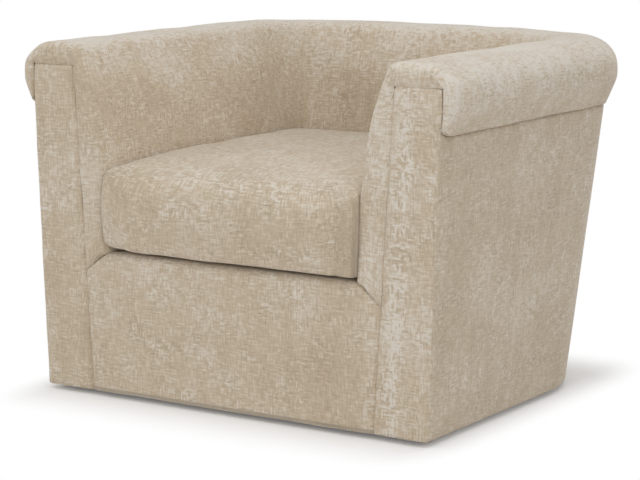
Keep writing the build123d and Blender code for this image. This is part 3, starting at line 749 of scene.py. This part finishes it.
# square rings grown out to the outline, so every cell of the pad is about the same size
def padMesh(name, shape):
    n = shape["cells"]
    sides = padOutline(shape["half"], shape["front"], shape["frontCorner"], n)
    ys = [p.y for side in sides for p in side]
    middle = Vector((0, (min(ys) + max(ys)) / 2))
    size = shape["half"]
    footEdge = 1 - shape["footRound"] / size
    rim = shape["crown"] - shape["crownRise"]

    # the round of the top edge, wide along the front and tight at the boxed sides and back
    def roundAt(spot):
        run = shape["roundRun"]
        boxed = smooth(max((spot.y - shape["front"]) / run, (abs(spot.x) - size + run) / run))
        return lerp(shape["topRound"], shape["sideRound"], boxed)

    def onOutline(i, j, k):
        if j == -k and i < k:
            side, share = 0, (i + k) / (2 * k)
        elif i == k and j < k:
            side, share = 1, (j + k) / (2 * k)
        elif j == k and i > -k:
            side, share = 2, (k - i) / (2 * k)
        else:
            side, share = 3, (k - j) / (2 * k)
        at = share * 2 * n
        low = min(int(at), 2 * n - 1)
        return sides[side][low].lerp(sides[side][low + 1], at - low)

    points, places, faces = [], [], []
    grids = {}
    for layer in ("top", "foot"):
        grid = {}
        for i in range(-n, n + 1):
            for j in range(-n, n + 1):
                k = max(abs(i), abs(j))
                rimSpot = onOutline(i, j, k) if k else middle
                share = k / n * (1 - roundAt(rimSpot) / size if layer == "top" else footEdge)
                spot = middle + (rimSpot - middle) * share
                crowned = rim + shape["crownRise"] * (1 - (k / n) ** pad["crownPower"])
                grid[i, j] = len(points)
                points.append(Vector((spot.x, spot.y, crowned if layer == "top" else shape["foot"])))
                places.append((spot.x, spot.y if layer == "top" else spot.y + 1))
        for i in range(-n, n):
            for j in range(-n, n):
                face = [grid[i, j], grid[i + 1, j], grid[i + 1, j + 1], grid[i, j + 1]]
                faces.append(face if layer == "top" else face[::-1])
        grids[layer] = grid
    loop = [(i, -n) for i in range(-n, n)] + [(n, j) for j in range(-n, n)]
    loop += [(i, n) for i in range(n, -n, -1)] + [(-n, j) for j in range(n, -n, -1)]
    # each band down the side: its angle, how far in and down as shares of the round, and its run down
    bands = [(angle, 1 - math.sin(math.radians(angle)), 1 - math.cos(math.radians(angle)), 0)
             for angle in pad["roundAngles"]]
    low = shape["foot"] + shape["footRound"]
    count = max(2, round((rim - shape["topRound"] - low) / pad["bandHeight"]))
    bands += [(90, 0, 1, i / count) for i in range(1, count)]
    bands += [(90 + angle, 1 - math.cos(math.radians(angle)), math.sin(math.radians(angle)), 1)
              for angle in pad["footAngles"]]
    rings = [[grids["top"][c] for c in loop]]
    downs = [0.0] * len(loop)
    lasts = [points[v] for v in rings[0]]
    for angle, inward, fallen, run in bands:
        here = []
        for m, (i, j) in enumerate(loop):
            spot = onOutline(i, j, n)
            r = roundAt(spot)
            if run == 1:                        # turned under at the foot
                share, z = 1 - shape["footRound"] * inward / size, low - shape["footRound"] * fallen
            else:
                swell = shape["sideSwell"] * math.sin(math.pi * run)
                share, z = 1 - r * inward / size + swell, lerp(rim - r * fallen, low, run)
            if angle == pad["seamAngle"] and j != -n:   # boxed sides and back have a seam
                share -= shape["seamDip"] / size
            out = Vector((0, -1) if j == -n else (1, 0) if i == n else (0, 1) if j == n else (-1, 0))
            at = middle + (spot - middle) * share
            at = Vector((at.x, at.y, z))
            downs[m] += (at - lasts[m]).length
            lasts[m] = at
            here.append(len(points))
            points.append(at)
            places.append(tuple(middle + (spot - middle) * (1 - r / size) + out * downs[m]))
        rings.append(here)
    rings.append([grids["foot"][c] for c in loop])
    for above, below in zip(rings, rings[1:]):
        for a in range(len(loop)):
            b = (a + 1) % len(loop)
            faces.append([above[a], below[a], below[b], above[b]])
    for p in points:                            # the top falls away toward the front
        ahead = clamp((shape["fallStart"] - p.y) / (shape["fallStart"] - shape["front"]))
        share = (p.z - shape["foot"]) / (shape["crown"] - shape["foot"])
        near = clamp(1 - (p.y - shape["front"]) / shape["shoulderRun"])
        corner = clamp((abs(p.x) - size + shape["roundRun"]) / shape["roundRun"])
        drop = shape["frontFall"] * ahead ** pad["fallPower"]
        drop += shape["shoulder"] * near ** 2 * (1 - pad["cornerHold"] * corner)
        p.z -= drop * share
    return meshPiece(name, points, faces, places)


# fills the cover with air pressure for a moment, holds each point near its pattern and keeps the foot flat
filling = {"pressure": 4.0, "frames": 20, "most": 6 * mm,
           "quality": 6, "mass": 0.3, "stiffness": 20, "bending": 0.8}


def inflate(piece, foot):
    scene = bpy.context.scene
    before = [v.co.copy() for v in piece.data.vertices]
    cloth = piece.modifiers.new("filling", "CLOTH")
    settings = cloth.settings
    settings.use_pressure = True
    settings.uniform_pressure_force = filling["pressure"]
    settings.effector_weights.gravity = 0
    settings.quality = filling["quality"]
    settings.mass = filling["mass"]
    settings.tension_stiffness = settings.compression_stiffness = filling["stiffness"]
    settings.bending_stiffness = filling["bending"]
    cloth.point_cache.frame_start, cloth.point_cache.frame_end = 1, filling["frames"]
    for f in range(1, filling["frames"] + 1):
        scene.frame_set(f)
    swollen = piece.evaluated_get(bpy.context.evaluated_depsgraph_get()).to_mesh()
    after = [v.co.copy() for v in swollen.vertices]
    piece.modifiers.remove(cloth)
    scene.frame_set(1)
    moved = 0
    for v, old, new in zip(piece.data.vertices, before, after):
        step = new - old
        moved = max(moved, step.length)
        if step.length > filling["most"]:
            step *= filling["most"] / step.length
        v.co = old + step
        v.co.z = max(v.co.z, foot)
    print(piece.name, "filled, largest move", round(moved / mm, 1), "mm")


# how far in from the rim's line the inside of the tub is at a height, both in mm
def insideFace(z):
    line = wrap["outline"][-4:]
    for (d0, z0), (d1, z1) in zip(line, line[1:]):
        if z >= z1 or (d1, z1) == line[-1]:
            return lerp(d0, d1, (z0 - z) / (z0 - z1))


# the cushion squeezes against the inside of the tub and swells a little past the arm fronts
def settle(piece, shape):
    plan = tubPlan(1)
    turn = wrap["frontRound"]
    for v in piece.data.vertices:
        v.co.z = max(v.co.z, shape["foot"])
        at = Vector((abs(v.co.x), v.co.y))
        if at.y < plan["cornerY"]:
            out, depth = Vector((1, 0)), plan["half"] - at.x
        else:
            arm = at - Vector((plan["cornerX"], plan["cornerY"]))
            if math.atan2(arm.y, arm.x) < tub["cornerTurn"] and arm.x > 0:
                out, depth = arm.normalized(), plan["corner"] - arm.length
            else:
                rear = at - Vector((0, plan["backMiddle"]))
                out, depth = rear.normalized(), plan["backRadius"] - rear.length
        need = insideFace(v.co.z / mm) * mm + shape["wallGap"]
        behind = (v.co.y - tub["front"]) / mm
        if behind < turn:                       # clear of the strip's rounded edge
            short = min(turn - behind, turn)
            need -= min((turn - math.sqrt(turn * turn - short * short)) * mm, shape["edgeGive"])
        if depth < need:
            at -= out * (need - depth)
            v.co.x, v.co.y = math.copysign(at.x, v.co.x), at.y
        v.co.y = max(v.co.y, tub["front"] - shape["frontReach"])
        aside = clamp((-v.co.x - shape["half"] + shape["liftRun"]) / shape["liftRun"])
        ahead = clamp(1 - (v.co.y - shape["front"]) / shape["liftRun"])
        share = 1 - (v.co.z - shape["foot"]) / (shape["crown"] - shape["foot"])
        v.co.z += shape["lift"] * aside ** 2 * ahead * share      # one front corner sits up a little


# the side bands come round the front corners and are seamed there; the nap of the right one lies flat
def seamBoxing(piece, shape, tone):
    n, turn = shape["cells"], shape["boxingCells"]
    start, ring = 2 * (2 * n + 1) ** 2, 8 * n   # the bands' points follow those of the top and the foot
    verts = piece.data.vertices
    normals = [v.normal.copy() for v in verts]
    for band in range(shape["boxingBand"], (len(verts) - start) // ring):
        for m in list(range(turn + 1)) + list(range(2 * n - turn, 2 * n + 1)):
            v = verts[start + band * ring + m]
            if band == shape["boxingBand"] or m in (turn, 2 * n - turn):
                v.co -= normals[v.index] * shape["boxingDip"]
            if m >= 2 * n - turn:
                tone.data[v.index].value = shape["boxingTone"]


cushionPiece = padMesh("cushion_cover", cushion)
inflate(cushionPiece, cushion["foot"])
soften(cushionPiece, cushion["swell"], cushion["swellSize"], cushion["swellSeed"])
soften(cushionPiece, cushion["crease"], cushion["creaseSize"], cushion["creaseSeed"])
settle(cushionPiece, cushion)
# painted top light on the cushion's top, then the seams of the side bands
seamBoxing(cushionPiece, cushion, paintTopLight(cushionPiece, cushion))
cushionPiece.modifiers.new("finer", "SUBSURF").render_levels = 1
dress(cushionPiece, clothFinish, "chenille_cloth", "cushion", "seat_cushion")
print("cushion done")

# foam core inside the cover and the thin pad the cushion lies on
plainPad = {
    "frontFall": 0.0, "fallStart": -0.13, "shoulder": 0.0, "shoulderRun": 50 * mm,
    "roundRun": 50 * mm, "sideSwell": 0.0, "seamDip": 0.0,
}
coreLow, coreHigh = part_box("cushion_core")
core = {
    **plainPad,
    "half": coreHigh.x - 1 * mm, "front": coreLow.y + 1 * mm, "foot": coreLow.z, "crown": coreHigh.z,
    "crownRise": 5 * mm, "frontCorner": 30 * mm, "frontFall": 8 * mm, "shoulder": 10 * mm,
    "topRound": 14 * mm, "sideRound": 14 * mm, "footRound": 8 * mm, "cells": 16,
}
deckLow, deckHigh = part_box("deck_pad")
deck = {
    **plainPad,
    "half": deckHigh.x - 1 * mm, "front": deckLow.y, "foot": deckLow.z, "crown": deckHigh.z - 0.2 * mm,
    "crownRise": 2 * mm, "frontCorner": 12 * mm,
    "topRound": 8 * mm, "sideRound": 8 * mm, "footRound": 5 * mm, "cells": 20,
}

# hidden parts: each look is a cloud of two tones stretched along the stuff's own grain, in mm
looks = {
    # pale foam: fine open cells give a matt, slightly spongy face
    "foam": {"name": "open cell foam", "tones": ("#D9CDA6", "#EBE2C2"),
             "grain": (2.2, 2.2, 2.2), "rough": 0.95, "bump": 0.5},
    # plain lining cloth under the cushion: even, fine and dull
    "deck_cloth": {"name": "plain lining cloth", "tones": ("#B9AB94", "#CBBEA8"),
                   "grain": (6, 1.6, 6), "rough": 0.9, "bump": 0.3},
    # black spun cloth under the frame: felted specks, no thread
    "dust_cloth": {"name": "spun dust cloth", "tones": ("#141414", "#26262A"),
                   "grain": (3, 3, 3), "rough": 0.95, "bump": 0.3},
    # jute webbing: brown, ribbed along the strap
    "webbing": {"name": "jute webbing", "tones": ("#5A4630", "#8A7150"),
                "grain": (14, 2.5, 3), "rough": 0.9, "bump": 0.5},
    # sawn beech: long grain streaks
    "hardwood": {"name": "sawn beech", "tones": ("#A77F55", "#C9A577"),
                 "grain": (9, 90, 9), "rough": 0.6, "bump": 0.2},
    # birch plywood: pale faces, dark glue lines on its edges
    "plywood": {"name": "birch plywood", "tones": ("#B08E60", "#D6BA8C"),
                "grain": (60, 60, 1.6), "rough": 0.55, "bump": 0.15},
    # pressed fibreboard: brown, finely flecked
    "fibreboard": {"name": "pressed fibreboard", "tones": ("#6E5236", "#8A6B48"),
                   "grain": (5, 5, 5), "rough": 0.8, "bump": 0.2},
    # zinc plate: grey metal with a faint spangle
    "zinc_steel": {"name": "zinc plated steel", "tones": ("#A4A7AA", "#C2C5C8"),
                   "grain": (12, 12, 12), "rough": 0.35, "metal": 1.0, "bump": 0.05},
    # hard rollers: bright and nearly even
    "bearing_steel": {"name": "polished bearing steel", "tones": ("#BFC1C4", "#D2D4D7"),
                      "grain": (4, 4, 4), "rough": 0.15, "metal": 1.0, "bump": 0.02},
    # milky nylon: slightly clouded
    "nylon": {"name": "moulded nylon", "tones": ("#D8D5CA", "#E6E3DA"),
              "grain": (15, 15, 15), "rough": 0.45, "bump": 0.03},
    # glide plastic: nearly black, dull, scuffed
    "glide_plastic": {"name": "black glide plastic", "tones": ("#17171A", "#2A2A2D"),
                      "grain": (7, 7, 7), "rough": 0.5, "bump": 0.1},
}
# where in the cloud the tones and the dullness turn, and how deep the relief is in metres
graining = {"detail": 4.0, "distortion": 0.4, "toneFrom": 0.32, "toneTo": 0.68,
            "dullFrom": 0.3, "dullTo": 0.7, "dullSpread": 0.15, "depth": 0.0005}


def grained(look):
    g = graining
    material, tree, shader = newFinish(look["name"], {"Metallic": look.get("metal", 0.0)})
    place = addNode(tree, "ShaderNodeTexCoord")
    spot = addNode(tree, "ShaderNodeMapping", None, {
        "Vector": place.outputs["Object"], "Scale": [1 / (size * mm) for size in look["grain"]]})
    cloud = addNode(tree, "ShaderNodeTexNoise", None, {
        "Vector": spot, "Scale": 1.0, "Detail": g["detail"], "Distortion": g["distortion"]})
    tone = addNode(tree, "ShaderNodeValToRGB", {
        "stops": list(zip((g["toneFrom"], g["toneTo"]), look["tones"]))}, {"Fac": cloud})
    tree.links.new(tone.outputs[0], shader.inputs["Base Color"])
    dull = addNode(tree, "ShaderNodeMapRange", None, {
        "Value": cloud, "From Min": g["dullFrom"], "From Max": g["dullTo"],
        "To Min": look["rough"] * (1 - g["dullSpread"]),
        "To Max": min(look["rough"] * (1 + g["dullSpread"]), 1.0)})
    tree.links.new(dull.outputs[0], shader.inputs["Roughness"])
    relief = addNode(tree, "ShaderNodeBump", None, {
        "Strength": look["bump"], "Distance": g["depth"], "Height": cloud})
    tree.links.new(relief.outputs[0], shader.inputs["Normal"])
    return material


finishes = {slot: grained(look) for slot, look in looks.items()}
corePiece = padMesh("foam_core", core)
dress(corePiece, finishes["foam"], "foam", "cushion", "cushion_core")
deckPiece = padMesh("deck_cover", deck)
dress(deckPiece, finishes["deck_cloth"], "deck_cloth", "chair", "deck_pad")
print("core and deck done")

# dust cover: black cloth stapled under the frame, with a round hole for the turntable
dustLow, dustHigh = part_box("dust_cover")
dust = {"inset": 6 * mm, "hole": 302 * mm, "sag": 1.2 * mm, "rings": 8, "round": 160, "frontCells": 80,
        "turning": 0.02}


def dustMesh():
    d = dust
    plan = tubPlan(0)
    edge = []
    for s in stationsFrom(0, 5):
        at, way = tubPoint(plan, s, dustLow.y)
        edge.append(at + way * d["inset"])
    edge += [Vector((lerp(edge[-1].x, edge[0].x, i / d["frontCells"]), dustLow.y))
             for i in range(1, d["frontCells"])]
    edge.append(edge[0])
    around = sum((b - a).length for a, b in zip(edge, edge[1:]))
    edge = evenLine(edge, around / d["round"])
    rows = []
    for k in range(d["rings"] + 1):
        share = k / d["rings"]
        z = lerp(dustLow.z, dustHigh.z, 0.5) - d["sag"] * math.sin(math.pi * share)
        row = []
        for at in edge:
            spot = at.lerp(at.normalized() * d["hole"], share)
            row.append((Vector((spot.x, spot.y, z)), (spot.x, spot.y)))
        rows.append(row)
    return clothPiece("dust_cloth", rows)


dustPiece = dustMesh()
dress(dustPiece, finishes["dust_cloth"], "dust_cloth", "chair", "dust_cover")

for node, slot in slotOf.items():
    if slot in finishes and node in nodes:
        data = nodes[node].data
        data.materials.clear()
        data.materials.append(finishes[slot])
print("hidden parts dressed")

# studio: pale floor and room, big soft lamps overhead and behind, and a low one on each side
studio = {
    "eye": (2.4930, -3.9548, 1.0788), "aim": (-0.0385, -0.0581, 0.2853),
    "lens": 129.49, "sensor": 36.0, "far": 100.0,
    "room": 0.45, "lampAim": (0.0, 0.0, 0.35),
    "lamps": {"overhead lamp": ((0.5, -0.9, 3.1), 2.4, 28.0), "rear lamp": ((0.3, 3.0, 2.3), 2.0, 16.0),
              "right lamp": ((3.0, -2.8, 1.0), 1.6, 21.0), "left lamp": ((-3.0, -2.6, 1.4), 1.6, 24.0)},
    "floorTone": "#F2F2F2", "floorLift": 0.12, "floorHalf": 30.0,
    # the shadow stays inside the footprint and fades out past it, sooner at the sides
    "footMiddle": (0.0, -0.09, 0.0), "footprint": (0.40, 0.31, 0.0), "sideways": (1.8, 1.0, 1.0),
    "fadeFrom": 0.03, "fadeTo": 0.23,
}


def aimAt(thing, place, target):
    bpy.context.scene.collection.objects.link(thing)
    thing.location = place
    thing.rotation_euler = (Vector(target) - Vector(place)).to_track_quat("-Z", "Y").to_euler()


camera = bpy.data.cameras.new("camera")
camera.lens = studio["lens"]
camera.sensor_width = studio["sensor"]
camera.clip_end = studio["far"]
eye = bpy.data.objects.new("camera", camera)
aimAt(eye, studio["eye"], studio["aim"])
bpy.context.scene.camera = eye

for name, (place, size, power) in studio["lamps"].items():
    lamp = bpy.data.lights.new(name, "AREA")
    lamp.energy = power
    lamp.shape = "SQUARE"
    lamp.size = size
    aimAt(bpy.data.objects.new(name, lamp), place, studio["lampAim"])


# rays that see the backdrop: from the eye, or by way of metal or glass
def seeingRays(tree):
    path = addNode(tree, "ShaderNodeLightPath")
    seen = path.outputs["Is Camera Ray"]
    for other in ("Is Glossy Ray", "Is Transmission Ray"):
        seen = addNode(tree, "ShaderNodeMath", {"operation": "MAXIMUM"}, {0: seen, 1: path.outputs[other]})
    return seen


room = bpy.data.worlds.new("room")
bpy.context.scene.world = room
room.use_nodes = True
tree = room.node_tree
tree.nodes.clear()
strength = addNode(tree, "ShaderNodeMix", {"data_type": "FLOAT"}, {
    0: seeingRays(tree), 2: studio["room"], 3: 1.0})
sky = addNode(tree, "ShaderNodeBackground", None, {"Color": (1, 1, 1, 1), "Strength": strength})
addNode(tree, "ShaderNodeOutputWorld", None, {"Surface": sky})

# matt painted floor: even and pale, and lifted to white away from the chair
floorFinish = bpy.data.materials.new("matt painted floor")
floorFinish.use_nodes = True
tree = floorFinish.node_tree
tree.nodes.clear()
paint = addNode(tree, "ShaderNodeBsdfDiffuse", None, {"Color": toLinear(studio["floorTone"])})
seen = seeingRays(tree)
lift = addNode(tree, "ShaderNodeMath", {"operation": "MULTIPLY"}, {0: seen, 1: studio["floorLift"]})
glow = addNode(tree, "ShaderNodeEmission", None, {"Strength": lift})
both = addNode(tree, "ShaderNodeAddShader", None, {0: paint, 1: glow})
white = addNode(tree, "ShaderNodeEmission", None, {"Strength": seen})
away = addNode(tree, "ShaderNodeTexCoord").outputs["Object"]
for step, by in (("SUBTRACT", studio["footMiddle"]), ("ABSOLUTE", (0, 0, 0)),
                 ("SUBTRACT", studio["footprint"]), ("MAXIMUM", (0, 0, 0)), ("MULTIPLY", studio["sideways"])):
    away = addNode(tree, "ShaderNodeVectorMath", {"operation": step}, {0: away, 1: by})
away = addNode(tree, "ShaderNodeVectorMath", {"operation": "LENGTH"}, {0: away})
fade = addNode(tree, "ShaderNodeMapRange", {"interpolation_type": "SMOOTHSTEP"}, {
    "Value": away.outputs["Value"], "From Min": studio["fadeFrom"], "From Max": studio["fadeTo"]})
fade = addNode(tree, "ShaderNodeMath", {"operation": "MULTIPLY"}, {0: fade, 1: seen})
blend = addNode(tree, "ShaderNodeMixShader", None, {0: fade, 1: both, 2: white})
addNode(tree, "ShaderNodeOutputMaterial", None, {"Surface": blend})
half = studio["floorHalf"]
corners = [(-half, -half, 0), (half, -half, 0), (half, half, 0), (-half, half, 0)]
floorMesh = bpy.data.meshes.new("floor")
floorMesh.from_pydata(corners, [], [[0, 1, 2, 3]])
floorMesh.materials.append(floorFinish)
floor = bpy.data.objects.new("floor", floorMesh)
bpy.context.scene.collection.objects.link(floor)
bpy.context.scene.view_settings.view_transform = "Standard"
print("studio done")
